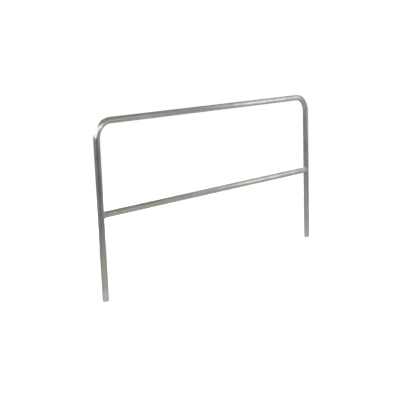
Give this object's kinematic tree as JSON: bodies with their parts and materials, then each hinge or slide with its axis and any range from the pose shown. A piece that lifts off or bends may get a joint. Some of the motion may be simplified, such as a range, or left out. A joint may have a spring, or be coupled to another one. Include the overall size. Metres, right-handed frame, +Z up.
{
  "type": "crowd control barrier",
  "caption": "Two-rail barrier section: one round tube bent into a wide upside-down U with a straight mid rail welded between its legs and a plug in each leg end.",
  "frame": {"origin": "on the ground, midway between the two legs", "axes": "+X along the rails to the right leg, +Y horizontal and square to the frame, +Z up"},
  "size_m": [2.006, 0.0416, 1.0668],
  "materials": {
    "satin_aluminium": "satin mill finish with fine draw lines along the tube and light handling wear",
    "weld_metal": "as welded, rippled bead, duller than the tube",
    "plug_plastic": "moulded mid grey plastic, fine matte texture"
  },
  "bodies": {
    "root": {"frame_tube": "satin_aluminium", "mid_rail": "satin_aluminium", "left_rail_weld": "weld_metal", "right_rail_weld": "weld_metal", "left_end_plug": "plug_plastic", "right_end_plug": "plug_plastic"}
  },
  "joints": []
}
